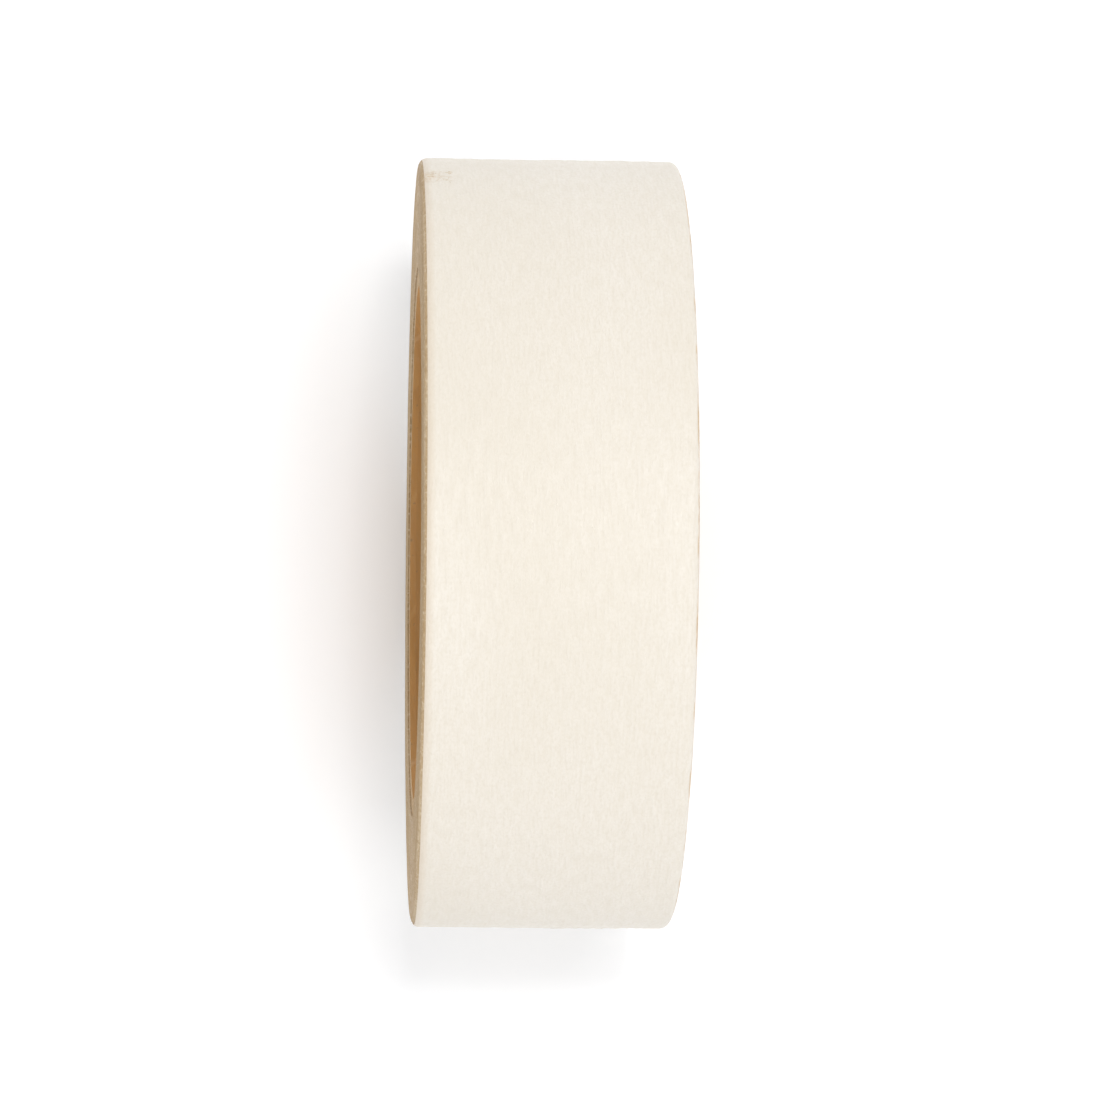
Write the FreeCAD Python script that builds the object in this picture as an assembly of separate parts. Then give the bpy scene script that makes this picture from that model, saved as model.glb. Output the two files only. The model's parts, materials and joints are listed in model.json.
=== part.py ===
"""A roll of masking tape that stands on its rim.

A spirally wound paperboard core carries the wound tape. The core's axis runs along X. The last turn
is a spiral that climbs by one tape thickness, and its free end peels off the roll in short hinged
lengths. Units are millimetres. The origin is on the surface that the roll stands on, midway along
the short flat that a soft roll takes there.
"""
import FreeCAD, Part
import math
import os

# Core tube
bore_radius = 38.1
core_width = 37.6
core_plies = [
    ("core_liner_ply", 0.5),
    ("core_body_ply_1", 0.8),
    ("core_body_ply_2", 0.8),
    ("core_outer_ply", 0.5),
]

# Tape
tape_width = 38.0
tape_thickness = 0.15
roll_radius = 57.0
shoulder = 0.6
edge_step = 0.5

# Standing flat
flat_half_width = 6.0

# Free end, placed by angles that turn from +Y towards +Z
tip_angle = 230.0
free_end_length_angle = 45.0
free_end_lengths = 6
free_end_lift = 0.05

# Construction: angles in degrees, and the room by which a cutting shape passes what it cuts
full_turn = 360.0
arc_step = 45.0
underside_angle = 270.0
cut_room = 1.0
trim_block_side = 200.0

root_angle = tip_angle - free_end_length_angle
start_angle = tip_angle - full_turn
core_radius = bore_radius + sum(thickness for _, thickness in core_plies)


def turn_radius(angle):
    """Radius of the last turn's outer face, one tape thickness larger at the tip than a turn before."""
    return roll_radius - tape_thickness * (tip_angle - angle) / full_turn


flat_depth = flat_half_width ** 2 / (2 * roll_radius)
axis_height = turn_radius(underside_angle - full_turn) - flat_depth


def rim_point(angle, inset, x):
    """Point on the last turn's outline, moved in by inset."""
    turn = math.radians(angle)
    radius = turn_radius(angle) - inset
    return FreeCAD.Vector(x, radius * math.cos(turn), axis_height + radius * math.sin(turn))


def spiral_edges(first_angle, last_angle, inset, x):
    """Tangent arcs that follow the last turn's outline from one angle to another."""
    count = max(1, round(abs(last_angle - first_angle) / arc_step))
    step = (last_angle - first_angle) / count
    edges = []
    for index in range(count):
        begin = first_angle + index * step
        ends = [rim_point(begin + share * step, inset, x) for share in (0, 0.5, 1)]
        edges.append(Part.Arc(*ends).toShape())
    return edges


def extrude(edges, width):
    """Solid of a closed outline across the roll's width."""
    face = Part.Face(Part.Wire(edges))
    return face.extrude(FreeCAD.Vector(width, 0, 0))


def spiral_disc(inset, width):
    """Disc inside the last turn's outline, with the radial step that the tape's end makes."""
    x = -width / 2
    edges = spiral_edges(start_angle, tip_angle, inset, x)
    step = Part.LineSegment(rim_point(tip_angle, inset, x), rim_point(start_angle, inset, x))
    return extrude(edges + [step.toShape()], width)


def strip_length(first_angle, last_angle, inset, thickness, width):
    """Length of tape between two angles."""
    x = -width / 2
    outside = spiral_edges(first_angle, last_angle, inset, x)
    inside = spiral_edges(last_angle, first_angle, inset + thickness, x)
    ends = [
        Part.LineSegment(rim_point(last_angle, inset, x), rim_point(last_angle, inset + thickness, x)),
        Part.LineSegment(rim_point(first_angle, inset + thickness, x), rim_point(first_angle, inset, x)),
    ]
    return extrude(outside + [ends[0].toShape()] + inside + [ends[1].toShape()], width)


def above(height):
    """Large block that keeps only what is above a height."""
    side = trim_block_side
    return Part.makeBox(side, side, side, FreeCAD.Vector(-side / 2, -side / 2, height))


def cylinder(radius, width):
    """Cylinder on the core's axis, centred on the middle of the roll."""
    start = FreeCAD.Vector(-width / 2, 0, axis_height)
    return Part.makeCylinder(radius, width, start, FreeCAD.Vector(1, 0, 0))


def shoulder_envelope():
    """Barrel that bevels the rims of the wound tape and clears it everywhere else."""
    half = tape_width / 2
    low = turn_radius(start_angle) - tape_thickness - shoulder
    high = low + 2 * shoulder
    outline = [
        (-half, 0),
        (-half, low),
        (-half + 2 * shoulder, high),
        (half - 2 * shoulder, high),
        (half, low),
        (half, 0),
        (-half, 0),
    ]
    points = [FreeCAD.Vector(x, 0, axis_height + radius) for x, radius in outline]
    face = Part.Face(Part.makePolygon(points))
    return face.revolve(FreeCAD.Vector(0, 0, axis_height), FreeCAD.Vector(1, 0, 0), full_turn)


def make_core():
    """The core's plies, from the bore outwards."""
    plies = {}
    inner = bore_radius
    for name, thickness in core_plies:
        outer = inner + thickness
        plies[name] = cylinder(outer, core_width).cut(cylinder(inner, core_width))
        inner = outer
    return plies


def make_wound_tape():
    """All the turns under the last one, which rest on a flat as the last one does."""
    turns = spiral_disc(tape_thickness, tape_width).common(above(tape_thickness))
    return turns.common(shoulder_envelope()).cut(cylinder(core_radius, tape_width))


def make_outer_turn():
    """The last turn, from where the free end lifts off, round to where it dives under the tip."""
    width = tape_width - 2 * edge_step
    turn = spiral_disc(0, width).common(above(0))
    inside = spiral_disc(tape_thickness, tape_width).common(above(tape_thickness))
    free_depth = tape_thickness + 2 * cut_room
    free_part = strip_length(root_angle, tip_angle, -cut_room, free_depth, tape_width)
    return turn.cut(inside).cut(free_part)


def make_free_end():
    """The free end as short lengths, each hinged to the one before along its outer face."""
    width = tape_width - 2 * edge_step
    step = free_end_length_angle / free_end_lengths
    lengths = {}
    for index in range(free_end_lengths):
        first = root_angle + index * step
        name = f"free_end_{index + 1}"
        lengths[name] = strip_length(first, first + step, -free_end_lift, tape_thickness, width)
    return lengths


def export(name, shape):
    """Writes one node's STEP file and prints its volume and size."""
    solid = shape.Solids[0]
    if len(shape.Solids) != 1 or not solid.isValid():
        raise RuntimeError(f"{name} is not one valid solid")
    solid.exportStep(os.path.join("parts", name + ".step"))
    size = solid.optimalBoundingBox()
    print(f"{name}: {solid.Volume:.2f} mm3, {size.XLength:.2f} x {size.YLength:.2f} x {size.ZLength:.2f} mm")


def print_hinges():
    """Prints where the free end's hinges are."""
    step = free_end_length_angle / free_end_lengths
    for index in range(free_end_lengths):
        hinge = rim_point(root_angle + index * step, -free_end_lift, 0)
        print(f"hinge of free_end_{index + 1} at y {hinge.y:.4f}, z {hinge.z:.4f}")
    print(f"core axis at z {axis_height:.4f}")


def main():
    os.makedirs("parts", exist_ok=True)
    nodes = make_core()
    nodes["wound_tape"] = make_wound_tape()
    nodes["outer_turn"] = make_outer_turn()
    nodes.update(make_free_end())
    for name, shape in nodes.items():
        export(name, shape)
    print_hinges()


main()
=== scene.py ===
"""Looks of a roll of masking tape that stands on its rim.

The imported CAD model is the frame: it gives the core's axis, the plies' radii and the free end's hinges.
Every piece here is built round it in metres. Sizes inside the noise patterns are in millimetres, because
crepes, fibres and slit edges are that small.
"""
import collections
import json
import math
import random

import bpy
from mathutils import Matrix, Vector, noise


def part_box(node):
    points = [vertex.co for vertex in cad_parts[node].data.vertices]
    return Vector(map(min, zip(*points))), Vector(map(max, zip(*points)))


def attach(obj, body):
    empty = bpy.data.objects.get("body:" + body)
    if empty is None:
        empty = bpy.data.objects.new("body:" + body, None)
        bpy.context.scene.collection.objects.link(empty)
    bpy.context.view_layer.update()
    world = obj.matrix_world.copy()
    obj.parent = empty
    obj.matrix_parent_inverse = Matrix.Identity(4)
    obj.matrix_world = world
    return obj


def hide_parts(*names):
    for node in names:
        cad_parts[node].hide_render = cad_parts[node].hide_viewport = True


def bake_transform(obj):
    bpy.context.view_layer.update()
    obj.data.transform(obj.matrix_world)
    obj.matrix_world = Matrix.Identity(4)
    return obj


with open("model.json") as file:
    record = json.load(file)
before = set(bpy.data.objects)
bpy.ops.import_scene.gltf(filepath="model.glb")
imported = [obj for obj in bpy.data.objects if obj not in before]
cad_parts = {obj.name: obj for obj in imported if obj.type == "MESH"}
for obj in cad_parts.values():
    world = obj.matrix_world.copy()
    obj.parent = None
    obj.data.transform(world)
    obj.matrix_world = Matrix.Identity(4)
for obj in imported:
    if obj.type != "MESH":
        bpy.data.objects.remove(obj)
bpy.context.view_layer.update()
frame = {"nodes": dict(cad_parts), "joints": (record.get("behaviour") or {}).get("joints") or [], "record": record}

bl_info = {
    "name": "Masking Tape Roll",
    "version": (1, 0, 0),
    "blender": (4, 5, 0),
    "location": "View3D > Sidebar > Masking Tape",
    "description": "Builds a roll of crepe-paper masking tape round its CAD frame",
    "category": "Add Mesh",
}

MM = 0.001
FULL_TURN = 360.0

# Edges that turn by more degrees than this stay sharp
SHARP_ANGLE = 42.0

CORE_PLIES = ("core_liner_ply", "core_body_ply_1", "core_body_ply_2", "core_outer_ply")
PEEL_JOINTS = [joint for joint in frame["joints"] if joint["name"].startswith("end_")]


def named_mount(name):
    """The record's mount of that name."""
    return next(mount for mount in frame["record"]["mounts"] if mount["name"] == name)


AXIS_HEIGHT = named_mount("core_bore")["pos_m"][2]


def node_radii(node):
    """Smallest and largest distance of a CAD node's corners from the core's axis."""
    corners = frame["nodes"][node].data.vertices
    distances = [math.hypot(corner.co.y, corner.co.z - AXIS_HEIGHT) for corner in corners]
    return min(distances), max(distances)


def angle_of(point):
    """Angle of a point round the core's axis, in degrees from +Y towards +Z."""
    return math.degrees(math.atan2(point[2] - AXIS_HEIGHT, point[1])) % FULL_TURN


PLY_RADII = [node_radii(ply) for ply in CORE_PLIES]
CORE_RADIUS = PLY_RADII[-1][1]
CORE_HALF_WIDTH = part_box("core_liner_ply")[1].x
TAPE_HALF_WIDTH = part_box("wound_tape")[1].x
SIDE_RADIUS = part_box("outer_turn")[1].y

HINGE_ANGLES = [angle_of(joint["pos_m"]) for joint in PEEL_JOINTS]
LENGTH_ANGLE = HINGE_ANGLES[1] - HINGE_ANGLES[0]
TIP_ANGLE = HINGE_ANGLES[-1] + LENGTH_ANGLE

# The free end's paper starts half a length before its first hinge, and the last turn's paper starts one
# length before the place under that
SEAM_ANGLE = HINGE_ANGLES[0] - LENGTH_ANGLE / 2
STRIP_START = SEAM_ANGLE - LENGTH_ANGLE - FULL_TURN


def linear_rgb(code):
    """Linear RGB of an sRGB hex colour."""
    parts = [int(code[place:place + 2], 16) / 255 for place in (1, 3, 5)]
    return tuple(part / 12.92 if part <= 0.04045 else ((part + 0.055) / 1.055) ** 2.4 for part in parts)


def length_property(name, description, millimetres):
    """A length that a user may change, shown in the scene's own unit."""
    return bpy.props.FloatProperty(
        name=name, description=description, default=millimetres * MM, unit="LENGTH", precision=5)


def colour_property(name, description, code):
    """A colour that a user may change."""
    return bpy.props.FloatVectorProperty(
        name=name, description=description, default=linear_rgb(code), subtype="COLOR", min=0, max=1)


class TapeSizes(bpy.types.PropertyGroup):
    """Sizes of the tape's surface, which the CAD model leaves plain"""
    pitch: length_property("Turn pitch", "How far the roll grows with each turn", 0.15)
    paper: length_property("Paper thickness", "Thickness of one shown layer of tape", 0.13)
    shoulder: length_property("Shoulder radius", "Rounding of the roll's rims", 1.2)
    crease_height: length_property("Crease height", "Height of the long creases", 0.085)
    crease_width: length_property("Crease width", "From one crease to the next, across the tape", 1.2)
    crease_length: length_property("Crease length", "Length of a crease along the tape", 8.0)
    wrinkle_height: length_property("Wrinkle height", "Height of the few sharp wrinkles", 0.09)
    swell_height: length_property("Swell height", "Height of the broad unevenness", 0.09)
    swell_width: length_property("Swell width", "Width of the broad unevenness", 17.0)
    telescope: length_property("Telescoping", "How far groups of turns stand in or out at the sides", 0.07)
    seam_gap: length_property("Core seam gap", "Gap between the liner's butted edges", 0.5)


class TapeColours(bpy.types.PropertyGroup):
    """Colours of the tape, its adhesive and its core"""
    paper: colour_property("Crepe paper", "Face of the tape", "#ECE5D9")
    paper_shade: colour_property("Paper mottle", "Thinner and more saturated places in the paper", "#E0D7C6")
    paper_edge: colour_property("Paper edge", "Adhesive that shows at the paper's edges", "#C9A878")
    slit_edge: colour_property("Slit edge", "Sides of the wound turns", "#C3AA86")
    slit_dark: colour_property("Slit edge, dark", "Turns whose adhesive shows more", "#A2845A")
    slit_pale: colour_property("Slit edge, pale", "Turns whose paper shows more", "#D9CAAE")
    adhesive: colour_property("Adhesive", "Back of the tape", "#DCC79C")
    liner: colour_property("Kraft liner", "Inside of the bore", "#CC9B5A")
    liner_dark: colour_property("Kraft liner, dark", "Darker streaks in the liner", "#9F7035")
    board: colour_property("Paperboard", "Cut ends of the core's plies", "#C2A47B")
    board_dark: colour_property("Paperboard, dark", "Specks and fibres in the paperboard", "#A08056")
    floor: colour_property("Floor", "Seamless paper that the roll stands on", "#F7F7F7")
    # Painted shade: the floor's darker patches stand for the hollows of the paper's tooth, which has no relief of
    # its own
    floor_painted_tooth_shade: colour_property("Floor, shade", "Hollows of the paper's tooth", "#F3F3F3")
    studio: colour_property("Studio light", "Light that the studio's white walls return", "#FBFCFF")


# ---------------------------------------------------------------- shape of the tape

# A feature of the paper's relief: its length along the tape and width across it, how strong it is, and the
# layer of noise that it is cut from, so that no two features follow each other
Feature = collections.namedtuple("Feature", "length width strength layer")
DRIFT = Feature(11 * MM, 8 * MM, 1.1, 3.1)
JITTER = Feature(5 * MM, 5 * MM, 0.3, 8.4)
CREASED_PATCH = Feature(26 * MM, 13 * MM, 0.9, 7.7)
SHORT_CREASE = Feature(4.2 * MM, 0.55 * MM, 0.6, 5.2)
PUCKER = Feature(2.4 * MM, 1.5 * MM, 0.75, 15.9)
WRINKLE = Feature(13 * MM, 2.4 * MM, 1.0, 27.3)
WRINKLED_PATCH = Feature(30 * MM, 15 * MM, 2.2, 33.6)

LONG_CREASE_STRENGTH, LONG_CREASE_LAYER = 0.7, 0.5
SWELL_STRETCH, SWELL_LAYER = 1.4, 11.3
USUAL_CREASING, LEAST_CREASING = 0.6, 0.2
WRINKLE_SHARPNESS = 0.2

# The paper never dips into the turn under it
DEEPEST_DIP = -0.13 * MM

# How far down the shoulders the paper reaches, in degrees, and how its relief dies down there
LEFT_WRAP, RIGHT_WRAP = 40.0, 74.0
EDGE_FADE_WIDTH = 2.5 * MM
EDGE_RELIEF = 0.25

# Width at each rim that has its own, closer columns, and one in how many of the columns lie there
RIM_WIDTH = 3.2 * MM
RIM_COLUMN_SHARE = 7


def turn_radius(angle):
    """Radius of the last turn's outer face. It grows by one pitch in a full turn."""
    return SIDE_RADIUS + bpy.context.scene.tape_sizes.pitch * angle / FULL_TURN


def arc_length(angle):
    """Distance along the tape to an angle, in metres."""
    return math.radians(angle) * SIDE_RADIUS


def crepe_noise(feature, along, across):
    """How strong one feature of the relief is at a place along and across the tape."""
    spot = Vector((along / feature.length, across / feature.width, feature.layer))
    return feature.strength * noise.noise(spot)


def relief(along, across):
    """Height of the paper over a smooth roll, at a place along and across the tape, in metres."""
    sizes = bpy.context.scene.tape_sizes
    long_crease = Feature(sizes.crease_length, sizes.crease_width, LONG_CREASE_STRENGTH, LONG_CREASE_LAYER)
    swell = Feature(SWELL_STRETCH * sizes.swell_width, sizes.swell_width, 1.0, SWELL_LAYER)
    drift = crepe_noise(DRIFT, along, across) + crepe_noise(JITTER, along, across)
    shifted = across + sizes.crease_width * drift
    creasing = max(LEAST_CREASING, USUAL_CREASING + crepe_noise(CREASED_PATCH, along, across))
    creases = crepe_noise(long_crease, along, shifted) + crepe_noise(SHORT_CREASE, along, shifted)
    wrinkle = max(0.0, 1 - abs(crepe_noise(WRINKLE, along, shifted)) / WRINKLE_SHARPNESS)
    wrinkled = max(0.0, crepe_noise(WRINKLED_PATCH, along, across))
    height = sizes.swell_height * crepe_noise(swell, along, across)
    height += sizes.wrinkle_height * wrinkle * wrinkled
    height += sizes.crease_height * (creasing * creases + crepe_noise(PUCKER, along, across))
    return max(DEEPEST_DIP, height)


def paper_span():
    """The paper's two edges, as distances from the middle of its width along its own section."""
    shoulder = bpy.context.scene.tape_sizes.shoulder
    flat = TAPE_HALF_WIDTH - shoulder
    return -flat - shoulder * math.radians(LEFT_WRAP), flat + shoulder * math.radians(RIGHT_WRAP)


def paper_height(angle, distance):
    """Relief that dies down towards the paper's edges, which lie tight over the shoulders."""
    left, right = paper_span()
    room = min(distance - left, right - distance)
    fade = EDGE_RELIEF + (1 - EDGE_RELIEF) * min(1.0, room / EDGE_FADE_WIDTH)
    return fade * relief(arc_length(angle), distance)


def shoulder_place(distance):
    """Where the paper is at a distance from the middle of its width: across the roll, drop and slope."""
    shoulder = bpy.context.scene.tape_sizes.shoulder
    flat = TAPE_HALF_WIDTH - shoulder
    turn = max(0.0, abs(distance) - flat) / shoulder
    across = min(abs(distance), flat) + shoulder * math.sin(turn)
    return math.copysign(across, distance), shoulder * (1 - math.cos(turn)), math.copysign(turn, distance)


def tape_point(angle, distance, height):
    """Point on the tape's outer face, raised by height along the face's own normal."""
    across, drop, slope = shoulder_place(distance)
    radius = turn_radius(angle) - drop + height * math.cos(slope)
    turn = math.radians(angle)
    return Vector((
        across + height * math.sin(slope),
        radius * math.cos(turn),
        AXIS_HEIGHT + radius * math.sin(turn),
    ))


def even_steps(first, last, count):
    """Values from first to last in equal steps."""
    return [first + (last - first) * index / count for index in range(count + 1)]


def across_steps(count):
    """Distances across the paper, closer together over the shoulders."""
    left, right = paper_span()
    rim_count = count // RIM_COLUMN_SHARE
    left_rim = even_steps(left, left + RIM_WIDTH, rim_count)
    middle = even_steps(left + RIM_WIDTH, right - RIM_WIDTH, count - 2 * rim_count)
    right_rim = even_steps(right - RIM_WIDTH, right, rim_count)
    return left_rim[:-1] + middle[:-1] + right_rim


# ---------------------------------------------------------------- meshes

def grid_quads(rows, columns, first=0, flip=False):
    """Faces of a grid whose corners are stored row by row."""
    quads = []
    for row in range(rows - 1):
        for column in range(columns - 1):
            corner = first + row * columns + column
            quad = (corner, corner + 1, corner + columns + 1, corner + columns)
            quads.append(quad[::-1] if flip else quad)
    return quads


def add_piece(name, points, faces, places, materials, kinds, body, nodes):
    """Makes a piece from points, faces, a UV place in metres for each point and a material for each face."""
    mesh = bpy.data.meshes.new(name)
    mesh.from_pydata(points, [], faces)
    for material in materials:
        mesh.materials.append(material)
    mesh.polygons.foreach_set("material_index", kinds)
    mesh.polygons.foreach_set("use_smooth", [True] * len(faces))
    layer = mesh.uv_layers.new(name="metres")
    for loop in mesh.loops:
        layer.data[loop.index].uv = places[loop.vertex_index]
    if mesh.validate():
        raise RuntimeError(f"{name} has faulty faces")
    mesh.set_sharp_from_angle(angle=math.radians(SHARP_ANGLE))
    piece = bpy.data.objects.new(name, mesh)
    bpy.context.scene.collection.objects.link(piece)
    if body:
        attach(piece, body)
    if nodes:
        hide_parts(*nodes)
    return piece


def no_lift(_angle, _distance):
    """A stuck turn lies on the one under it."""
    return 0.0


def no_tear(_row, _distance):
    """A strip that goes on past its last row isn't torn there."""
    return 0.0


def strip_side(angles, steps, depth, lift, tear):
    """Points of one side of a strip, row by row, at a depth under its face, and their UV places."""
    points, places = [], []
    for row, angle in enumerate(angles):
        for distance in steps:
            height = paper_height(angle, distance) + lift(angle, distance) - depth
            point = tape_point(angle + tear(row, distance), distance, height)
            # The roll's weight lays the paper flat on what it stands on
            point.z = max(point.z, depth)
            points.append(point)
            places.append((arc_length(angle), distance))
    return points, places


def strip_edges(rows, wide, narrow, every):
    """Faces of a strip's four cut edges. The back has one point for every few of the face's."""
    back = rows * wide
    edges = []
    for row in range(rows - 1):
        face_left, next_face_left = row * wide, (row + 1) * wide
        back_left, next_back_left = back + row * narrow, back + (row + 1) * narrow
        edges.append((face_left, next_face_left, next_back_left, back_left))
        edges.append((face_left + wide - 1, back_left + narrow - 1,
                      next_back_left + narrow - 1, next_face_left + wide - 1))
    for row, flip in ((0, False), (rows - 1, True)):
        for index in range(narrow - 1):
            start = row * wide + index * every
            outside = list(range(start, start + every + 1))
            inside = [back + row * narrow + index, back + row * narrow + index + 1]
            end = outside[::-1] + inside
            edges.append(tuple(end[::-1] if flip else end))
    return edges


def tape_strip(name, angles, columns, every, body, nodes, lift=no_lift, tear=no_tear):
    """A length of tape through the given angles, with a creased face, an adhesive back and cut edges.

    The back keeps one column of points in every few of the face's. lift raises the strip off the turn
    under it, and tear moves the points of its last rows along the tape.
    """
    steps = across_steps(columns)
    back_steps = steps[::every]
    thickness = bpy.context.scene.tape_sizes.paper
    face_points, face_places = strip_side(angles, steps, 0.0, lift, tear)
    back_points, back_places = strip_side(angles, back_steps, thickness, lift, tear)
    rows, wide, narrow = len(angles), len(steps), len(back_steps)
    face = grid_quads(rows, wide)
    back = grid_quads(rows, narrow, len(face_points), flip=True)
    edges = strip_edges(rows, wide, narrow, every)
    materials = [crepe_paper(), tape_adhesive(), slit_edges()]
    kinds = [0] * len(face) + [1] * len(back) + [2] * len(edges)
    return add_piece(name, face_points + back_points, face + back + edges, face_places + back_places,
                     materials, kinds, body, nodes)


# ---------------------------------------------------------------- materials

# Inputs of a node that mixes two colours
MIX_SHARE, MIX_UNDER, MIX_OVER = 0, 6, 7

# Most of a noise lies between these values
NOISE_LOW, NOISE_HIGH = 0.3, 0.7

# A layer of colour: its patches' size in millimetres along each axis, how broken up they are, the noise
# values at which it starts and is full, and how strong it is there
Layer = collections.namedtuple("Layer", "colour size detail start full strength")


def add_node(tree, kind, settings=None, links=None):
    """Adds a node, sets its own properties and its input values, and links its inputs.

    A link comes from a socket, or from a node, which gives its first output in use.
    """
    node = tree.nodes.new(kind)
    for name, value in (settings or {}).items():
        if isinstance(name, int) or name in node.inputs:
            node.inputs[name].default_value = value
        else:
            setattr(node, name, value)
    for name, source in (links or {}).items():
        if isinstance(source, bpy.types.Node):
            source = next(output for output in source.outputs if output.enabled)
        tree.links.new(source, node.inputs[name])
    return node


def start_material(name):
    """A new material with an empty node tree, and that tree."""
    material = bpy.data.materials.new(name)
    material.use_nodes = True
    material.node_tree.nodes.clear()
    return material, material.node_tree


def rgba(colour):
    """A colour with an alpha of 1."""
    return (*colour, 1.0)


def patches(tree, place, layer):
    """A layer's noise, and how much of the layer shows. place gives metres, so its millimetres are true."""
    scale = [1 / (size * MM) for size in layer.size]
    stretched = add_node(tree, "ShaderNodeMapping", {"Scale": scale}, {"Vector": place})
    pattern = add_node(
        tree, "ShaderNodeTexNoise", {"Scale": 1.0, "Detail": layer.detail}, {"Vector": stretched})
    share = add_node(
        tree, "ShaderNodeMapRange",
        {"From Min": layer.start, "From Max": layer.full, "To Max": layer.strength}, {"Value": pattern})
    return pattern, share


def paint(tree, place, under, layers):
    """Lays patches of colour over what is under them, a colour or a node, one layer after another.

    Returns the painted colour and each layer's noise, which also drives the roughness and the bump.
    """
    noises = []
    for layer in layers:
        pattern, share = patches(tree, place, layer)
        settings = {"data_type": "RGBA", MIX_OVER: rgba(layer.colour)}
        links = {MIX_SHARE: share}
        if isinstance(under, bpy.types.Node):
            links[MIX_UNDER] = under
        else:
            settings[MIX_UNDER] = rgba(under)
        under = add_node(tree, "ShaderNodeMix", settings, links)
        noises.append(pattern)
    return under, noises


def finish_surface(tree, colour, gloss_noise, roughness, height, depth, settings):
    """Ends a material. A noise moves its roughness between two values, and height raises its relief."""
    smoothest, roughest = roughness
    rough = add_node(
        tree, "ShaderNodeMapRange",
        {"From Min": NOISE_LOW, "From Max": NOISE_HIGH, "To Min": smoothest, "To Max": roughest},
        {"Value": gloss_noise})
    raised = add_node(tree, "ShaderNodeBump", {"Distance": depth}, {"Height": height})
    shader = add_node(tree, "ShaderNodeBsdfPrincipled", settings,
                      {"Base Color": colour, "Roughness": rough, "Normal": raised})
    add_node(tree, "ShaderNodeOutputMaterial", {}, {"Surface": shader})


def once(build):
    """Makes a material's function give the same material to every piece."""
    kept = []

    def shared():
        if not kept:
            kept.append(build(bpy.context.scene.tape_colours))
        return kept[0]
    return shared


# Where the paper starts to turn tan towards each rim, and where that is full. At the right rim it is adhesive
# stain in broken streaks. At the left rim it is partly adhesive tint and partly painted shade over the shoulder
LEFT_TINT_AND_SHADE = (-17.3 * MM, -18.6 * MM)
LEFT_TINT_AND_SHADE_STRENGTH = 0.3
RIGHT_STAIN = (18.75 * MM, 19.1 * MM)

# The rubbed spot: its place, its radius, the grain's noise that is worn off there, and how far
SCUFF_ANGLE, SCUFF_DISTANCE = 25.5, -18.2 * MM
SCUFF_RADIUS = 3.2 * MM
RUBBED_GRAIN = (0.36, 0.64)
RUBBED_STRENGTH = 0.6

# How far the grain stands up beside the fibres
GRAIN_RISE = 0.8


@once
def crepe_paper(colours):
    """Saturated crepe paper with a release coat: a satin cream face with fine lengthwise fibres.

    Adhesive stains it in broken streaks along its right edge. Towards its left edge it turns tan: partly adhesive
    tint, partly painted shade over the shoulder. One spot on the left rim is rubbed. The fibres are really about
    0.03 mm wide, and are drawn ten times as coarse so that they show.
    """
    material, tree = start_material("saturated_crepe_paper")
    place = add_node(tree, "ShaderNodeUVMap", {"uv_map": "metres"})
    layers = [
        Layer(colours.paper_shade, size=(3.4, 1.2, 1), detail=4, start=0.35, full=0.7, strength=0.25),
        Layer(colours.paper_shade, size=(2.6, 0.36, 1), detail=3, start=0.42, full=0.68, strength=0.38),
        Layer(colours.paper_shade, size=(0.6, 0.45, 1), detail=2, start=0.45, full=0.68, strength=0.42),
        Layer(colours.paper_shade, size=(60, 30, 1), detail=1, start=0.4, full=0.7, strength=0.4),
    ]
    paper, (mottle, fibres, grain, _) = paint(tree, place, colours.paper, layers)
    across = add_node(tree, "ShaderNodeSeparateXYZ", {}, {0: place}).outputs[1]
    # Painted shade over the left shoulder, mixed with the adhesive's tint: the paper turns tan towards its left
    # edge
    left_rim = add_node(
        tree, "ShaderNodeMapRange",
        {"From Min": LEFT_TINT_AND_SHADE[0], "From Max": LEFT_TINT_AND_SHADE[1], "To Max": LEFT_TINT_AND_SHADE_STRENGTH},
        {"Value": across})
    right_rim = add_node(
        tree, "ShaderNodeMapRange", {"From Min": RIGHT_STAIN[0], "From Max": RIGHT_STAIN[1]},
        {"Value": across})
    streaks = Layer(colours.paper_edge, size=(5, 2, 1), detail=5, start=0.46, full=0.6, strength=0.85)
    _, broken = patches(tree, place, streaks)
    # Broken adhesive streaks at the right rim, plus the tint and painted shade at the left rim
    stain_and_shade = add_node(tree, "ShaderNodeMath", {"operation": "MULTIPLY_ADD"},
                     {0: right_rim, 1: broken, 2: left_rim})
    rubbed_place = (arc_length(SCUFF_ANGLE), SCUFF_DISTANCE, 0)
    from_scuff = add_node(
        tree, "ShaderNodeVectorMath", {"operation": "DISTANCE", 1: rubbed_place}, {0: place})
    near_scuff = add_node(tree, "ShaderNodeMapRange", {"From Min": SCUFF_RADIUS, "From Max": 0.0},
                          {"Value": from_scuff})
    rubbed = add_node(
        tree, "ShaderNodeMapRange",
        {"From Min": RUBBED_GRAIN[0], "From Max": RUBBED_GRAIN[1], "To Max": RUBBED_STRENGTH},
        {"Value": grain})
    scuff = add_node(tree, "ShaderNodeMath", {"operation": "MULTIPLY"}, {0: near_scuff, 1: rubbed})
    marks_and_shade = add_node(tree, "ShaderNodeMath", {"operation": "ADD", "use_clamp": True}, {0: stain_and_shade, 1: scuff})
    marked_and_shaded = add_node(tree, "ShaderNodeMix", {"data_type": "RGBA", MIX_OVER: rgba(colours.paper_edge)},
                      {MIX_SHARE: marks_and_shade, MIX_UNDER: paper})
    tooth = add_node(
        tree, "ShaderNodeMath", {"operation": "MULTIPLY_ADD", 1: GRAIN_RISE}, {0: grain, 2: fibres})
    satin = {"IOR": 1.47, "Sheen Weight": 0.1, "Sheen Roughness": 0.5}
    finish_surface(tree, marked_and_shaded, mottle, (0.46, 0.6), tooth, 0.09 * MM, satin)
    return material


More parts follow.
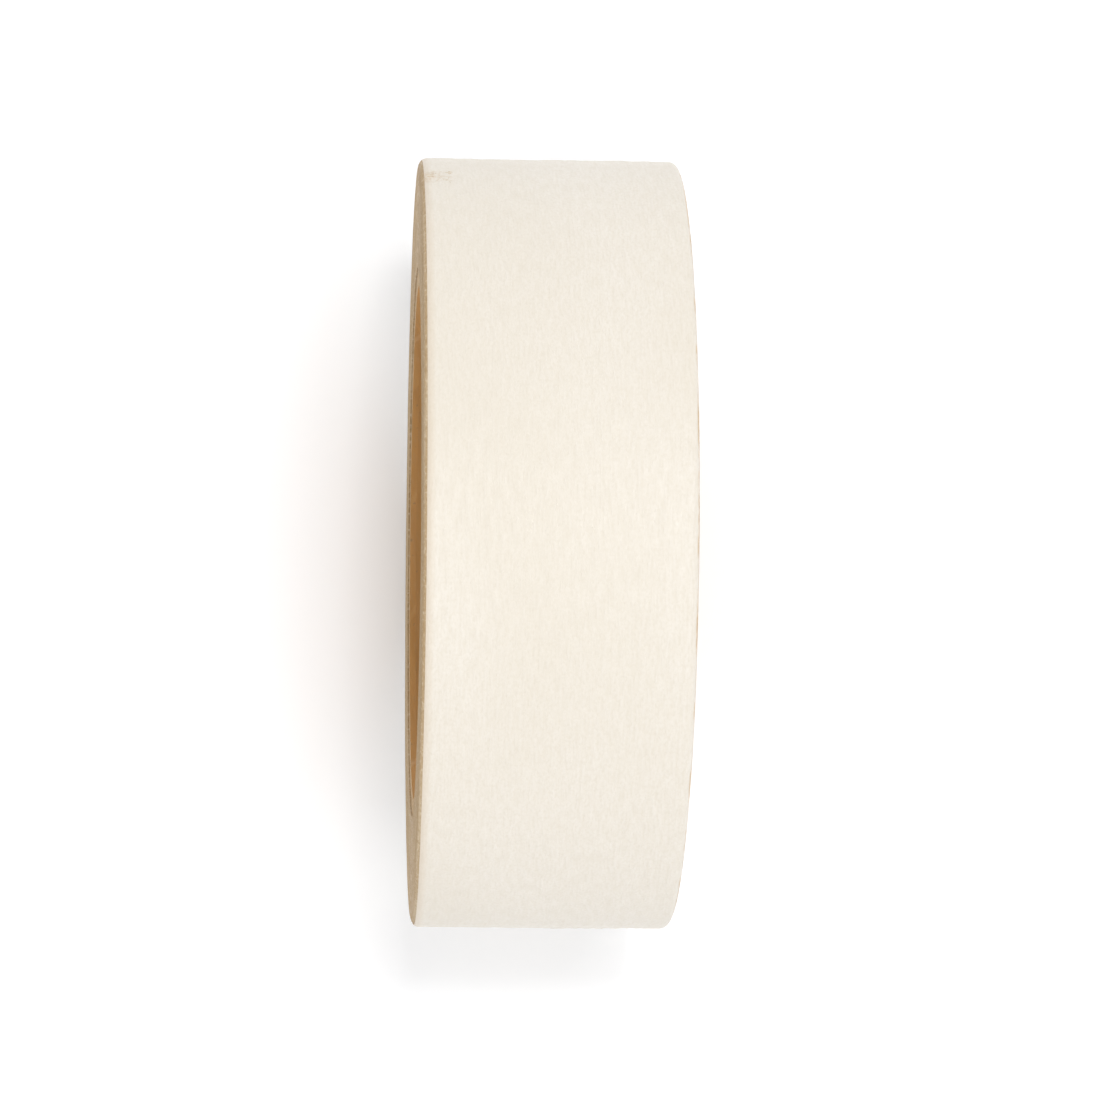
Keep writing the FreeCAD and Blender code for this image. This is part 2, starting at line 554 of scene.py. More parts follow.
@once
def tape_adhesive(colours):
    """Rubber adhesive coated on the paper's back: amber and glossy, with fine strings across the tape."""
    material, tree = start_material("rubber_adhesive")
    place = add_node(tree, "ShaderNodeUVMap", {"uv_map": "metres"})
    layers = [
        Layer(colours.paper_edge, size=(6, 5, 1), detail=3, start=0.35, full=0.7, strength=0.6),
        Layer(colours.slit_pale, size=(0.5, 5, 1), detail=2, start=0.5, full=0.7, strength=0.4),
    ]
    amber, (_, strings) = paint(tree, place, colours.adhesive, layers)
    glossy = {"IOR": 1.52, "Coat Weight": 0.3, "Coat Roughness": 0.2}
    finish_surface(tree, amber, strings, (0.22, 0.4), strings, 0.03 * MM, glossy)
    return material


@once
def slit_edges(colours):
    """Edges of wound tape, cut by rotary slitting: matt tan rings of paper and adhesive, and lint.

    Each turn is 0.15 mm thick. The rings are drawn twice as coarse, as the pairs and bands of turns that
    the eye picks out.
    """
    material, tree = start_material("slit_tape_edges")
    place = add_node(tree, "ShaderNodeTexCoord").outputs["Object"]
    centred = add_node(
        tree, "ShaderNodeVectorMath", {"operation": "SUBTRACT", 1: (0, 0, AXIS_HEIGHT)}, {0: place})
    outward = add_node(tree, "ShaderNodeVectorMath", {"operation": "MULTIPLY", 1: (0, 1, 1)}, {0: centred})
    radius = add_node(tree, "ShaderNodeVectorMath", {"operation": "LENGTH"}, {0: outward})
    axes = add_node(tree, "ShaderNodeSeparateXYZ", {}, {0: centred})
    ringed = add_node(
        tree, "ShaderNodeCombineXYZ", {}, {0: radius, 1: axes.outputs[1], 2: axes.outputs[2]})
    rings = [
        Layer(colours.slit_dark, size=(0.34, 22, 22), detail=3, start=0.4, full=0.64, strength=0.45),
        Layer(colours.slit_dark, size=(1.9, 50, 50), detail=3, start=0.4, full=0.64, strength=0.45),
        Layer(colours.slit_pale, size=(0.9, 12, 12), detail=4, start=0.5, full=0.75, strength=0.45),
        Layer(colours.slit_pale, size=(0.5, 0.5, 0.5), detail=2, start=0.52, full=0.7, strength=0.6),
        Layer(colours.slit_dark, size=(0.6, 0.9, 0.9), detail=3, start=0.5, full=0.66, strength=0.5),
    ]
    tan, (turns, _, _, lint, _) = paint(tree, ringed, colours.slit_edge, rings)
    ridges = add_node(tree, "ShaderNodeMath", {"operation": "ADD"}, {0: turns, 1: lint})
    finish_surface(tree, tan, turns, (0.6, 0.8), ridges, 0.06 * MM, {"IOR": 1.5})
    return material


# Slope of the liner's grain across the bore, in degrees
LINER_GRAIN_ANGLE = 9.0


@once
def kraft_liner(colours):
    """Calendered kraft paper, wound with its grain along the ply: smooth brown with soft darker streaks."""
    material, tree = start_material("calendered_kraft_liner")
    flat = add_node(tree, "ShaderNodeUVMap", {"uv_map": "metres"})
    place = add_node(tree, "ShaderNodeMapping", {"Rotation": (0, 0, math.radians(LINER_GRAIN_ANGLE))},
                     {"Vector": flat})
    layers = [
        Layer(colours.liner_dark, size=(45, 2.6, 1), detail=2, start=0.3, full=0.7, strength=0.45),
        Layer(colours.board, size=(2.4, 0.4, 1), detail=3, start=0.5, full=0.8, strength=0.35),
        Layer(colours.board_dark, size=(0.9, 0.7, 1), detail=1, start=0.68, full=0.75, strength=0.6),
    ]
    brown, (_, fibres, _) = paint(tree, place, colours.liner, layers)
    finish_surface(tree, brown, fibres, (0.42, 0.58), fibres, 0.03 * MM, {"IOR": 1.48})
    return material


@once
def raw_paperboard(colours):
    """Recycled paperboard, cut by a saw: rough and matt, with dark specks and pale lint."""
    material, tree = start_material("sawn_recycled_paperboard")
    place = add_node(tree, "ShaderNodeTexCoord").outputs["Object"]
    layers = [
        Layer(colours.board_dark, size=(1.1, 1.1, 1.1), detail=4, start=0.38, full=0.72, strength=0.9),
        Layer(colours.slit_edge, size=(9, 9, 9), detail=3, start=0.4, full=0.7, strength=0.5),
        Layer(colours.slit_pale, size=(0.45, 0.45, 0.45), detail=1, start=0.62, full=0.72, strength=0.7),
    ]
    pulpy, (pulp, _, specks) = paint(tree, place, colours.board, layers)
    lumps = add_node(tree, "ShaderNodeMath", {"operation": "ADD"}, {0: pulp, 1: specks})
    finish_surface(tree, pulpy, pulp, (0.8, 0.95), lumps, 0.12 * MM, {"IOR": 1.45})
    return material


@once
def frayed_fibres(colours):
    """Paper fibres rubbed loose from the crepe: matt, pale where they stand clear and tan with adhesive."""
    material, tree = start_material("frayed_paper_fibres")
    place = add_node(tree, "ShaderNodeTexCoord").outputs["Object"]
    layers = [
        Layer(colours.paper_edge, size=(0.6, 0.6, 0.6), detail=1, start=0.35, full=0.65, strength=0.8),
    ]
    tan, (tint,) = paint(tree, place, colours.paper_shade, layers)
    matt = add_node(tree, "ShaderNodeMapRange",
                    {"From Min": NOISE_LOW, "From Max": NOISE_HIGH, "To Min": 0.75, "To Max": 0.9},
                    {"Value": tint})
    shader = add_node(tree, "ShaderNodeBsdfPrincipled", {"IOR": 1.5}, {"Base Color": tan, "Roughness": matt})
    add_node(tree, "ShaderNodeOutputMaterial", {}, {"Surface": shader})
    return material


@once
def seamless_paper(colours):
    """Matt seamless background paper, with a glow that stands for the light that a studio's walls return.

    The glow grows away from the roll, where the softboxes' light falls off, so that the paper stays white.
    """
    material, tree = start_material("seamless_background_paper")
    place = add_node(tree, "ShaderNodeTexCoord").outputs["Object"]
    # Patches of painted shade for the hollows of the paper's tooth, which has no relief of its own
    layers = [
        Layer(colours.floor_painted_tooth_shade, size=(1.5, 1.5, 1.5), detail=2, start=0.3, full=0.7, strength=0.5),
    ]
    paper, _ = paint(tree, place, colours.floor, layers)
    reach = add_node(tree, "ShaderNodeVectorMath", {"operation": "LENGTH"}, {0: place})
    glow = add_node(
        tree, "ShaderNodeMapRange",
        {"From Max": FAR_FLOOR, "To Min": FLOOR_GLOW, "To Max": FAR_FLOOR_GLOW}, {"Value": reach})
    shader = add_node(
        tree, "ShaderNodeBsdfPrincipled",
        {"Roughness": 0.95, "Specular IOR Level": 0.1, "Emission Color": rgba(colours.studio)},
        {"Base Color": paper, "Emission Strength": glow})
    add_node(tree, "ShaderNodeOutputMaterial", {}, {"Surface": shader})
    return material


# ---------------------------------------------------------------- core

PLY_COLUMNS = 360
BORE_STEPS = 12
END_CHAMFER = 0.09 * MM
END_SHARES = (0.12, 0.37, 0.63, 0.88)

# Butt seams, in degrees: the liner's place, the step round to the next ply's, and the twist across the roll
FIRST_SEAM = 205.0
NEXT_SEAM = 83.0
SEAM_TWIST = 96.0

# A seam's columns and the half width of its floor, in shares of its gap, its depth, and its notch at the ends
SEAM_PROFILE = (-0.5, -0.3, -0.1, 0.1, 0.3, 0.5)
SEAM_FLOOR = 0.35
SEAM_DEPTH = 0.2 * MM
SEAM_NOTCH = 0.25 * MM

# Wear of the cut ends, the depth of the fray on them and the sizes of its fine and broad lumps
END_WEAR = 0.05 * MM
FRAY = 0.05 * MM
FINE_FRAY = 0.9 * MM
BROAD_FRAY = 6 * MM

PLY_WAVE = 0.03 * MM
PLY_WAVE_LENGTH = 11 * MM


def ply_section(inner, outer):
    """Points round a ply's section: across the roll, radius and whether they are on a cut end."""
    half = CORE_HALF_WIDTH
    edge = half - END_CHAMFER
    end_radii = [inner + (outer - inner) * share for share in END_SHARES]
    bore = [(across, inner, False) for across in even_steps(-edge, edge, BORE_STEPS)]
    right = [(half, radius, True) for radius in end_radii]
    outside = [(across, outer, False) for across in (edge, 0.0, -edge)]
    left = [(-half, radius, True) for radius in reversed(end_radii)]
    return bore + right + outside + left


def ply_turns(seam_at, gap):
    """Angles of a ply's columns: even, with a few more across its butt seam."""
    even = even_steps(0.0, FULL_TURN, PLY_COLUMNS)[:-1]
    clear = [turn for turn in even if abs(turn - seam_at % FULL_TURN) > gap]
    return sorted(clear + [(seam_at + gap * share) % FULL_TURN for share in SEAM_PROFILE])


def core_ply(name, number, inner, outer):
    """One spirally wound ply of the core, with its butt seam and slightly frayed ends."""
    section = ply_section(inner, outer)
    seam_at = FIRST_SEAM + NEXT_SEAM * number
    gap = math.degrees(bpy.context.scene.tape_sizes.seam_gap / inner)
    turns = ply_turns(seam_at, gap)
    points, places = [], []
    for turn in turns:
        off_seam = abs((turn - seam_at + FULL_TURN / 2) % FULL_TURN - FULL_TURN / 2)
        in_gap = off_seam < SEAM_FLOOR * gap
        for across, radius, is_end in section:
            angle = math.radians(turn + SEAM_TWIST * across / (2 * CORE_HALF_WIDTH))
            at = Vector((across, radius * math.cos(angle), radius * math.sin(angle)))
            inset = 0.0
            if is_end:
                inset = END_WEAR + FRAY * (noise.noise(at / FINE_FRAY) + noise.noise(at / BROAD_FRAY))
                inset += SEAM_NOTCH if in_gap else 0.0
            elif radius == outer:
                radius += PLY_WAVE * noise.noise(at / PLY_WAVE_LENGTH)
            elif in_gap:
                radius += SEAM_DEPTH
            points.append((across - math.copysign(inset, across), radius * math.cos(angle),
                           AXIS_HEIGHT + radius * math.sin(angle)))
            places.append((angle * radius, across + radius - inner if is_end else across))
    around = len(section)
    faces, kinds = [], []
    for column in range(len(turns)):
        following = (column + 1) % len(turns)
        for place in range(around):
            beyond = (place + 1) % around
            faces.append((column * around + place, column * around + beyond,
                          following * around + beyond, following * around + place))
            kinds.append(1 if section[place][2] or section[beyond][2] else 0)
    is_liner = number == 0
    materials = [kraft_liner() if is_liner else raw_paperboard(), raw_paperboard()]
    return add_piece(name + "_paper", points, faces, places, materials, kinds, "roll", [name])


class MakeCore(bpy.types.Operator):
    """Builds the core's plies, from the smooth liner outwards"""
    bl_idname = "masking_tape.make_core"
    bl_label = "Core"

    def execute(self, context):
        for number, (name, radii) in enumerate(zip(CORE_PLIES, PLY_RADII)):
            core_ply(name, number, *radii)
        return {"FINISHED"}


# ---------------------------------------------------------------- wound tape

TURN_COLUMNS = 160

# Depth of the groove between two turns, and how far a turn may stand out at the side
EDGE_GROOVE = 0.05 * MM
MOST_PROUD = 0.12 * MM

# Depth of the wound turns under the last one's face, in pitches, and the part of a turn left free at the core
UNDER_LAST_TURN = 1.07
SPARE_TURN = 0.1

# Depth to which the roll's weight presses the turns together over the standing flat
SQUEEZED_DEPTH = 2.0 * MM

# How far turns are set back from the paper over the shoulder, in pitches, and how far below its edge
SET_BACK = 1.2
BELOW_PAPER = 0.4

# Bands of turns that stand in or out together, dents in the side, and how far one turn strays by itself
STAGGER_BAND, STAGGER_ROUND, STAGGER_STRENGTH = 1.7 * MM, 0.12, 0.7
DENT_SIZE, DENT_STRENGTH = 7 * MM, 0.35
STRAY_TURNS, STRAY_DRIFT, STRAY = 2.3, 0.7, 0.02 * MM

# Layers of noise that keep the two sides apart
STAGGER_LAYER, DENT_LAYER, STRAY_LAYER = 5.0, 4.0, 9.0


def side_place(depth, wrap):
    """How far out the side of the roll is, at a depth below the paper's face."""
    sizes = bpy.context.scene.tape_sizes
    shoulder = sizes.shoulder
    rise = max(0.0, shoulder - depth)
    if rise == 0:
        return TAPE_HALF_WIDTH
    covered = shoulder * (1 - math.cos(math.radians(wrap)))
    under_paper = depth <= covered + BELOW_PAPER * sizes.pitch
    reach = shoulder - SET_BACK * sizes.pitch if under_paper else shoulder
    return TAPE_HALF_WIDTH - shoulder + math.sqrt(max(0.0, reach ** 2 - min(rise, reach) ** 2))


def wound_turns():
    """Number of turns under the last one, and the pitch at which they fill the space outside the core."""
    pitch = bpy.context.scene.tape_sizes.pitch
    room = turn_radius(STRIP_START) - UNDER_LAST_TURN * pitch - CORE_RADIUS
    count = int(room / pitch)
    return count, room / (count + SPARE_TURN)


def flat_squeeze(radius, boundary, turn):
    """Radius after the outer turns are pressed together over the standing flat."""
    below = -math.sin(turn)
    if below <= 0:
        return radius
    allowed = (AXIS_HEIGHT - UNDER_LAST_TURN * bpy.context.scene.tape_sizes.pitch) / below
    unpressed = boundary - SQUEEZED_DEPTH
    if allowed >= boundary or radius < unpressed:
        return radius
    return unpressed + (radius - unpressed) * (allowed - unpressed) / SQUEEZED_DEPTH


def slit_edge_point(side, wrap, column, last, pitch, middle):
    """Point on a slit edge: in the groove between two turns, or midway up a turn."""
    angle = STRIP_START + (column - last) * FULL_TURN / TURN_COLUMNS
    turns_under = math.ceil((last - column) / TURN_COLUMNS) if column < last else 0
    outer_radius = turn_radius(angle + turns_under * FULL_TURN)
    boundary = outer_radius - UNDER_LAST_TURN * bpy.context.scene.tape_sizes.pitch
    radius = boundary - (turns_under - middle / 2) * pitch
    turn = math.radians(angle)
    along = column / TURN_COLUMNS
    spot = Vector((0, radius * math.cos(turn), radius * math.sin(turn)))
    stagger = noise.noise(Vector((radius / STAGGER_BAND, turn * STAGGER_ROUND, side * STAGGER_LAYER)))
    dent = noise.noise(spot / DENT_SIZE + Vector((side * DENT_LAYER, 0, 0)))
    stray = noise.noise(Vector((along * STRAY_TURNS, along * STRAY_DRIFT, side * STRAY_LAYER)))
    shift = STAGGER_STRENGTH * stagger + DENT_STRENGTH * dent
    proud = bpy.context.scene.tape_sizes.telescope * shift + STRAY * stray
    groove = 0.0 if middle else EDGE_GROOVE
    across = side_place(outer_radius - radius, wrap) + min(MOST_PROUD, proud) - groove
    squeezed = flat_squeeze(radius, boundary, turn)
    point = (side * across, squeezed * math.cos(turn), AXIS_HEIGHT + squeezed * math.sin(turn))
    return point, (turn * radius, radius)


def side_faces(rims, side, last):
    """Faces of one side: each turn's edge falls from its middle to the grooves beside it."""
    faces = []
    for column in range(last):
        beyond = column + TURN_COLUMNS
        near = [rims[side, column, 0], rims[side, column + 1, 0],
                rims[side, column + 1, 1], rims[side, column, 1]]
        far = [rims[side, column, 1], rims[side, column + 1, 1],
               rims[side, beyond + 1, 0], rims[side, beyond, 0]]
        faces += [tuple(near[::side]), tuple(far[::side])]
    return faces


def cross_faces(rims, last):
    """Faces from side to side: inside the first turn, outside the last, and the steps where they start."""
    inner = [(column, 0) for column in range(TURN_COLUMNS + 1)]
    inner_step = [(0, 0), (0, 1), (TURN_COLUMNS, 0)]
    outer = [(column, 0) for column in range(last, last + TURN_COLUMNS + 1)]
    outer_step = [(last, 0), (last, 1), (last + TURN_COLUMNS, 0)]
    faces = []
    for chain, flip in ((inner, False), (inner_step, True), (outer, True), (outer_step, False)):
        for place, following in zip(chain, chain[1:]):
            quad = (rims[(-1, *place)], rims[(-1, *following)], rims[(1, *following)], rims[(1, *place)])
            faces.append(quad[::-1] if flip else quad)
    return faces


class MakeWoundTape(bpy.types.Operator):
    """Builds the turns under the last one, with every slit edge on a true spiral"""
    bl_idname = "masking_tape.make_wound_tape"
    bl_label = "Wound Tape"

    def execute(self, context):
        count, pitch = wound_turns()
        last = count * TURN_COLUMNS
        points, places, rims = [], [], {}
        for side, wrap in ((-1, LEFT_WRAP), (1, RIGHT_WRAP)):
            for column in range(last + TURN_COLUMNS + 1):
                for middle in (0, 1) if column <= last else (0,):
                    point, place = slit_edge_point(side, wrap, column, last, pitch, middle)
                    rims[side, column, middle] = len(points)
                    points.append(point)
                    places.append(place)
        faces = side_faces(rims, -1, last) + side_faces(rims, 1, last) + cross_faces(rims, last)
        add_piece("wound_turns", points, faces, places, [slit_edges()], [0] * len(faces),
                  "roll", ["wound_tape"])
        return {"FINISHED"}


# ---------------------------------------------------------------- last turn and free end

# Rows along the tape, columns across it, and one in how many of the columns its back keeps
OUTER_TURN_ROWS = 570
PAPER_COLUMNS = 150
OUTER_BACK_EVERY = 10
BEND_ROWS = 14
BEND_BACK_EVERY = 5
TIP_ROWS = 8
TORN_ROWS = 3

# The tip's curl: its height, how far before the tip it starts in degrees, and how uneven it is
TIP_CURL = 0.45 * MM
TIP_CURL_ANGLE = 2.6
USUAL_CURL, CURL_UNEVENNESS = 0.6, 0.9
CURL_WIDTH, CURL_PLACE, CURL_LAYER = 14 * MM, 0.2, 31.0

# Width across the tape of each feature of a hand tear, and how far it reaches along the tape in degrees
TEAR_FEATURES = ((9 * MM, 0.55), (1.9 * MM, 0.35), (0.6 * MM, 0.18))
TEAR_PLACE, TEAR_LAYER = 0.3, 21.0
TEAR_INSET = 0.3


class MakeOuterTurn(bpy.types.Operator):
    """Builds the last turn, and the face of the turn under the free end"""
    bl_idname = "masking_tape.make_outer_turn"
    bl_label = "Outer Turn"

    def execute(self, context):
        angles = even_steps(STRIP_START, SEAM_ANGLE, OUTER_TURN_ROWS)
        tape_strip("outer_turn_paper", angles, PAPER_COLUMNS, OUTER_BACK_EVERY, "roll", ["outer_turn"])
        return {"FINISHED"}


def torn_tip(row, distance):
    """How a hand tear moves the tip's last rows, in degrees, at a distance across the tape."""
    share = max(0.0, (row - TIP_ROWS + TORN_ROWS) / TORN_ROWS)
    reach = -TEAR_INSET
    for number, (width, depth) in enumerate(TEAR_FEATURES):
        spot = Vector((distance / width, TEAR_PLACE * (number + 1), TEAR_LAYER + number))
        reach += depth * noise.noise(spot)
    return share * reach


def smooth_step(share):
    """A share from 0 to 1 that starts and ends gently."""
    return share * share * (3 - 2 * share)


def end_lift(angle, distance):
    """How far the free end lies off the turn under it: it rises before its first hinge and curls up last."""
    hinge = PEEL_JOINTS[0]["pos_m"]
    clearance = math.hypot(hinge[1], hinge[2] - AXIS_HEIGHT) - turn_radius(HINGE_ANGLES[0])
    rise = min(1.0, max(0.0, (angle - SEAM_ANGLE) / (HINGE_ANGLES[0] - SEAM_ANGLE)))
    curl = max(0.0, 1 - (TIP_ANGLE - angle) / TIP_CURL_ANGLE)
    uneven = noise.noise(Vector((distance / CURL_WIDTH, CURL_PLACE, CURL_LAYER)))
    curled = TIP_CURL * curl ** 2 * (USUAL_CURL + CURL_UNEVENNESS * uneven)
    return clearance * smooth_step(rise) + curled


def joint_node(joint):
    """The CAD node that a joint moves."""
    return frame["record"]["behaviour"]["bodies"][joint["child"]][0]


class MakeFreeEnd(bpy.types.Operator):
    """Builds the free end: a strip over each of its hinges, and a torn tip that rides the last hinge's body"""
    bl_idname = "masking_tape.make_free_end"
    bl_label = "Free End"

    def execute(self, context):
        for number, joint in enumerate(PEEL_JOINTS):
            hinge_angle = HINGE_ANGLES[number]
            angles = even_steps(hinge_angle - LENGTH_ANGLE / 2, hinge_angle + LENGTH_ANGLE / 2, BEND_ROWS)
            piece = tape_strip(f"free_end_bend_{number + 1}", angles, PAPER_COLUMNS, BEND_BACK_EVERY,
                               None, [joint_node(joint)], lift=end_lift)
            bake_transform(piece)
        angles = even_steps(TIP_ANGLE - LENGTH_ANGLE / 2, TIP_ANGLE, TIP_ROWS)
        tape_strip("free_end_torn_tip", angles, PAPER_COLUMNS, 1, PEEL_JOINTS[-1]["child"], [],
                   lift=end_lift, tear=torn_tip)
        return {"FINISHED"}


# ---------------------------------------------------------------- fibres

FIBRE_SEED = 11
FIBRE_COUNT = 30
FIBRE_STEPS = 6
FIBRE_SIDES = 4

# How far round the roll fibres lie from the middle of the rubbed spot, in degrees, and how far from the edge
FIBRE_SPREAD_ANGLE = 2.4
FIBRE_REACH = (0.3 * MM, 3.6 * MM)
FIBRE_LENGTH = (0.5 * MM, 1.5 * MM)
FIBRE_RADIUS = (0.015 * MM, 0.035 * MM)

# Most that a fibre heads off the way across the tape, and most that it turns at each step, in radians
FIBRE_HEADING = 1.3
FIBRE_CURL = 0.3

# Gap under a fibre, how much it ripples, and how thick its points are beside its middle
FIBRE_CLEARANCE = 0.01 * MM
FIBRE_RISE = 0.02 * MM
POINTED_SHARE = 0.25


def fibre(points, faces, places, path, thickness):
    """Adds one thin fibre along a path, as a four-sided hair with pointed ends."""
    first = len(points)
    for index, centre in enumerate(path):
        before, after = path[max(index - 1, 0)], path[min(index + 1, len(path) - 1)]
        along = (after - before).normalized()
        outward = Vector((0, centre.y, centre.z - AXIS_HEIGHT)).normalized()
        sideways = along.cross(outward).normalized()
        share = index / (len(path) - 1)
        radius = thickness * (POINTED_SHARE + (1 - POINTED_SHARE) * math.sin(math.pi * share))
        for offset in (sideways, outward, -sideways, -outward):
            points.append(centre + offset * radius)
            places.append((share * MM, 0))
    for index in range(len(path) - 1):
        ring = first + index * FIBRE_SIDES
        following = ring + FIBRE_SIDES
        for corner in range(FIBRE_SIDES):
            beyond = (corner + 1) % FIBRE_SIDES
            faces.append((ring + corner, ring + beyond, following + beyond, following + corner))
    end = first + FIBRE_SIDES * (len(path) - 1)
    faces.append(tuple(range(first, first + FIBRE_SIDES))[::-1])
    faces.append(tuple(range(end, end + FIBRE_SIDES)))


def fibre_path(draw):
    """Path of one loose fibre, which lies on the paper and curls."""
    left, _ = paper_span()
    angle = SCUFF_ANGLE + draw.uniform(-FIBRE_SPREAD_ANGLE, FIBRE_SPREAD_ANGLE)
    distance = left + draw.uniform(*FIBRE_REACH)
    heading = draw.uniform(-FIBRE_HEADING, FIBRE_HEADING)
    curl = draw.uniform(-FIBRE_CURL, FIBRE_CURL)
    stride = draw.uniform(*FIBRE_LENGTH) / FIBRE_STEPS
    path = []
    for step in range(FIBRE_STEPS + 1):
        height = paper_height(angle, distance) + FIBRE_CLEARANCE + FIBRE_RISE * math.sin(step)
        path.append(tape_point(angle, distance, height))
        distance += stride * math.cos(heading)
        angle += math.degrees(stride * math.sin(heading) / SIDE_RADIUS)
        heading += curl
    return path


class MakeRimFibres(bpy.types.Operator):
    """Builds the scuffed paper fibres on the left rim"""
    bl_idname = "masking_tape.make_rim_fibres"
    bl_label = "Rim Fibres"

    def execute(self, context):
        draw = random.Random(FIBRE_SEED)
        points, faces, places = [], [], []
        for _ in range(FIBRE_COUNT):
            path = fibre_path(draw)
            fibre(points, faces, places, path, draw.uniform(*FIBRE_RADIUS))
        add_piece("rim_scuff_fibres", points, faces, places, [frayed_fibres()], [0] * len(faces),
                  "roll", [])
        return {"FINISHED"}


# ---------------------------------------------------------------- stage

FLOOR_REACH = 6.0

# The floor's glow under the roll and far from it
FLOOR_GLOW = 0.12
FAR_FLOOR = 3.0
FAR_FLOOR_GLOW = 0.45

# The dome's strength overhead and at the horizon, and how high it is at its overhead strength
ZENITH_STRENGTH = 0.58
HORIZON_STRENGTH = 1.03
ZENITH_RISE = 0.6

# A softbox: its lean from overhead towards +X and +Y in degrees, its side in metres and its power in watts
Softbox = collections.namedtuple("Softbox", "name lean_right lean_back side power")
SOFTBOX_DISTANCE = 2.0
SOFTBOXES = (
    Softbox("key_softbox", 1.5, 9.0, 0.22, 6.6),
    Softbox("side_softbox", 6.5, 9.0, 0.5, 6.4),
    Softbox("front_softbox", 3.0, -17.0, 0.6, 7.7),
)

# A long lens, almost straight overhead: how far it leans left and forward, and rolls, in degrees
SENSOR_WIDTH = 36.0
CAMERA_LENS = 163.2
CAMERA_DISTANCE = 741.8 * MM
CAMERA_LEFT = 2.81
CAMERA_FRONT = 3.76
CAMERA_ROLL = 0.41
CAMERA_AIM = Vector((1.22 * MM, -0.93 * MM, 0))


def add_softbox(softbox):
    """A square softbox that faces the roll."""
    lamp = bpy.data.lights.new(softbox.name, "AREA")
    lamp.shape = "SQUARE"
    lamp.size = softbox.side
    lamp.energy = softbox.power
    lean = [math.tan(math.radians(turn)) for turn in (softbox.lean_right, softbox.lean_back)]
    direction = Vector((*lean, 1)).normalized()
    light = bpy.data.objects.new(softbox.name, lamp)
    light.location = direction * SOFTBOX_DISTANCE
    light.rotation_euler = direction.to_track_quat("Z", "Y").to_euler()
    bpy.context.scene.collection.objects.link(light)


def add_camera():
    """The camera, almost straight above the roll."""
    lens = bpy.data.cameras.new("camera")
    lens.sensor_width = SENSOR_WIDTH
    lens.lens = CAMERA_LENS
    left, front, roll = (math.radians(turn) for turn in (CAMERA_LEFT, CAMERA_FRONT, CAMERA_ROLL))
    centre = Vector((0, 0, AXIS_HEIGHT))
    away = Vector((-math.sin(left) * math.cos(front), -math.sin(front), math.cos(left) * math.cos(front)))
    place = centre + CAMERA_DISTANCE * away
    forward = (centre + CAMERA_AIM - place).normalized()
    level = forward.cross(Vector((0, 1, 0))).normalized()
    upright = level.cross(forward)
    right = level * math.cos(roll) + upright * math.sin(roll)
    up = upright * math.cos(roll) - level * math.sin(roll)
    camera = bpy.data.objects.new("camera", lens)
    camera.matrix_world = Matrix.Translation(place) @ Matrix((right, up, -forward)).transposed().to_4x4()
    bpy.context.scene.collection.objects.link(camera)
    bpy.context.scene.camera = camera


def add_floor():
    """The floor, which isn't part of the object."""
    reach = FLOOR_REACH
    mesh = bpy.data.meshes.new("floor")
    corners = [(-reach, -reach, 0), (reach, -reach, 0), (reach, reach, 0), (-reach, reach, 0)]
    mesh.from_pydata(corners, [], [(0, 1, 2, 3)])
    mesh.materials.append(seamless_paper())
    floor = bpy.data.objects.new("floor", mesh)
    bpy.context.scene.collection.objects.link(floor)


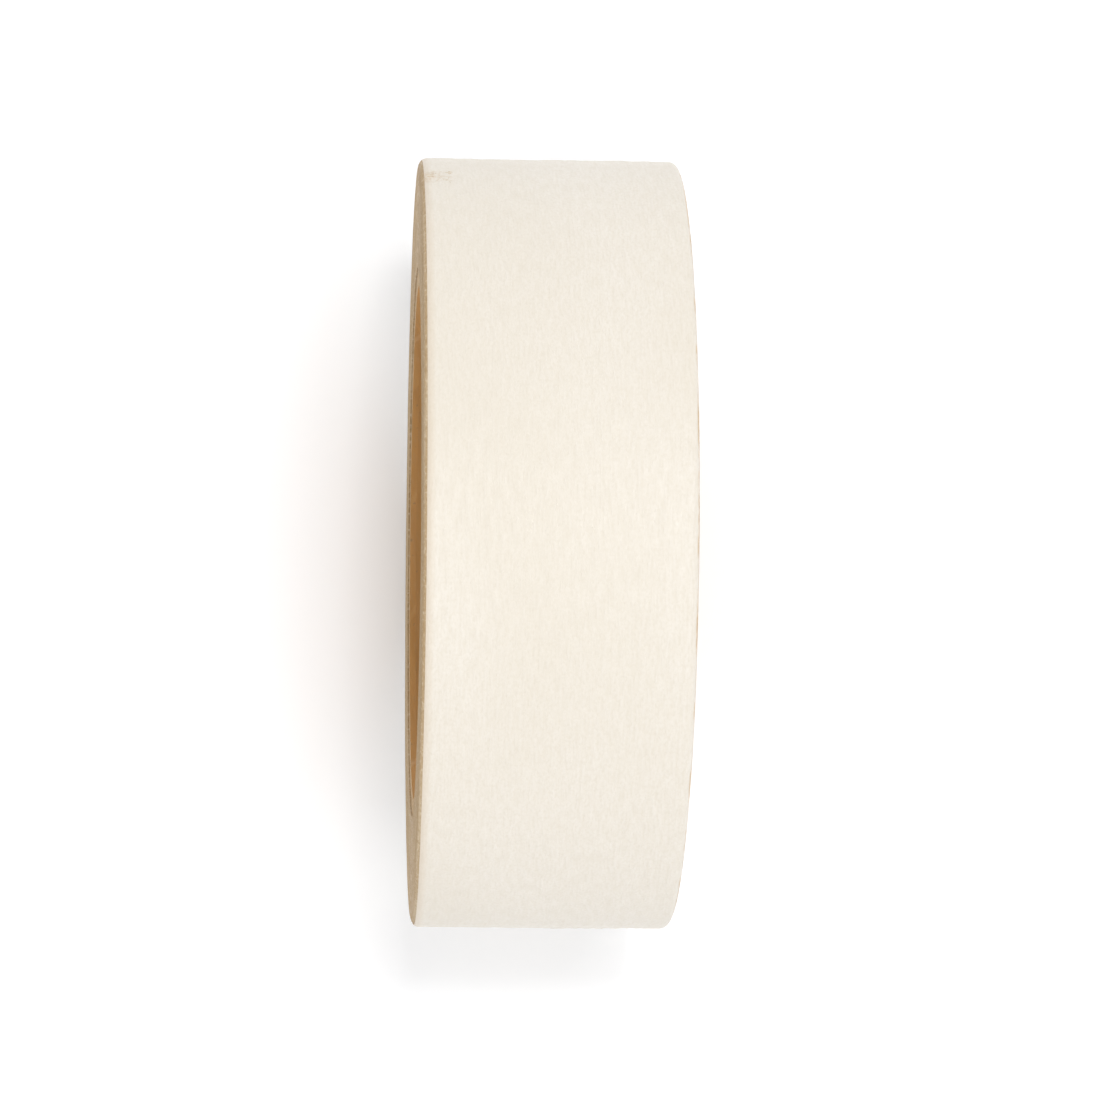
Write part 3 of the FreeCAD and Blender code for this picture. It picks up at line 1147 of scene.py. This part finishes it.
def add_dome():
    """A white dome of soft light, a little brighter towards the horizon."""
    world = bpy.data.worlds.new("white_dome")
    world.use_nodes = True
    tree = world.node_tree
    tree.nodes.clear()
    direction = add_node(tree, "ShaderNodeTexCoord").outputs["Generated"]
    height = add_node(tree, "ShaderNodeSeparateXYZ", {}, {0: direction}).outputs[2]
    strength = add_node(
        tree, "ShaderNodeMapRange",
        {"From Max": ZENITH_RISE, "To Min": HORIZON_STRENGTH, "To Max": ZENITH_STRENGTH}, {"Value": height})
    white = rgba(bpy.context.scene.tape_colours.studio)
    light = add_node(tree, "ShaderNodeBackground", {"Color": white}, {"Strength": strength})
    add_node(tree, "ShaderNodeOutputWorld", {}, {"Surface": light})
    bpy.context.scene.world = world


class MakeStage(bpy.types.Operator):
    """Makes the floor, the soft light and the camera"""
    bl_idname = "masking_tape.make_stage"
    bl_label = "Stage"

    def execute(self, context):
        context.scene.view_settings.view_transform = "Standard"
        add_floor()
        add_dome()
        for softbox in SOFTBOXES:
            add_softbox(softbox)
        add_camera()
        return {"FINISHED"}


# ---------------------------------------------------------------- add-on

PIECE_OPERATORS = (MakeCore, MakeWoundTape, MakeOuterTurn, MakeFreeEnd, MakeRimFibres, MakeStage)


class MaskingTapePanel(bpy.types.Panel):
    """Sidebar panel that lists the roll's pieces, sizes and colours"""
    bl_idname = "VIEW3D_PT_masking_tape"
    bl_label = "Masking Tape"
    bl_space_type = "VIEW_3D"
    bl_region_type = "UI"
    bl_category = "Masking Tape"

    def draw(self, context):
        for operator in PIECE_OPERATORS:
            self.layout.operator(operator.bl_idname)
        for group in (context.scene.tape_sizes, context.scene.tape_colours):
            for name in group.bl_rna.properties.keys():
                if name not in ("rna_type", "name"):
                    self.layout.prop(group, name)


CLASSES = (TapeSizes, TapeColours, *PIECE_OPERATORS, MaskingTapePanel)


def register():
    """Registers the classes and puts the sizes and colours on the scene."""
    for kind in CLASSES:
        bpy.utils.register_class(kind)
    bpy.types.Scene.tape_sizes = bpy.props.PointerProperty(type=TapeSizes)
    bpy.types.Scene.tape_colours = bpy.props.PointerProperty(type=TapeColours)


def unregister():
    """Takes off what register put on."""
    del bpy.types.Scene.tape_sizes
    del bpy.types.Scene.tape_colours
    for kind in reversed(CLASSES):
        bpy.utils.unregister_class(kind)


def main():
    """Registers the add-on, then builds every piece and the stage."""
    register()
    bpy.ops.masking_tape.make_core()
    bpy.ops.masking_tape.make_wound_tape()
    bpy.ops.masking_tape.make_outer_turn()
    bpy.ops.masking_tape.make_free_end()
    bpy.ops.masking_tape.make_rim_fibres()
    bpy.ops.masking_tape.make_stage()


if __name__ == "__main__":
    main()
